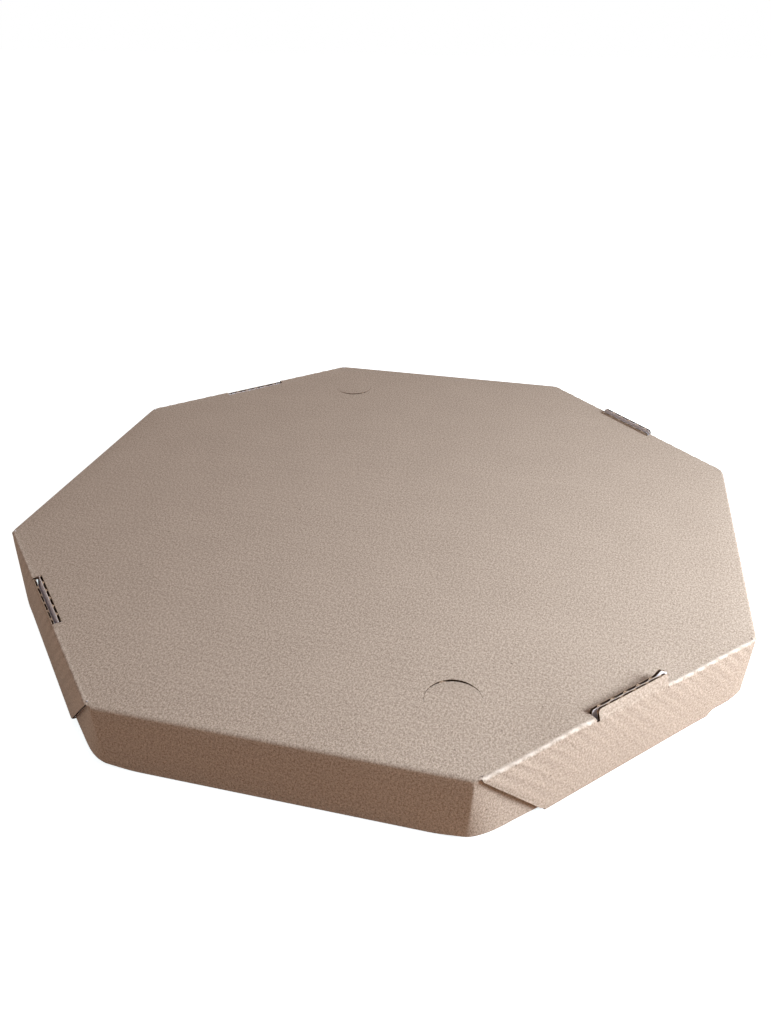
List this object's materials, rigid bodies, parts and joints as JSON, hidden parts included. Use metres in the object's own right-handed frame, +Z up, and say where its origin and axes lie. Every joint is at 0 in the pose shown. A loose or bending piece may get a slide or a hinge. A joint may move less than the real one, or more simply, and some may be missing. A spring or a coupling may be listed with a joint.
{
  "type": "pizza box",
  "caption": "Octagonal pizza box of fluted kraft board: a lid with rolled, locked double walls and half-moon steam vents that lifts straight off the tray it slides over.",
  "frame": {"origin": "on the surface that the tray's feet stand on, below the centre of the octagon", "axes": "+Z up; single walls face -X, +X, -Y and +Y, rolled double walls face the diagonals; the flutes of the board run along X"},
  "size_m": [0.45, 0.45, 0.047],
  "materials": {
    "kraft_board": "uncoated brown kraft liner outside, white liner inside, flutes open at the cut edges"
  },
  "bodies": {
    "tray": {"base_tray": "kraft_board"},
    "lid": {"lid": "kraft_board"}
  },
  "joints": [
    {"name": "lid_lift", "type": "slide", "parent": "tray", "child": "lid", "axis": [0, 0, 1], "range_m": [0, 0.1]}
  ]
}
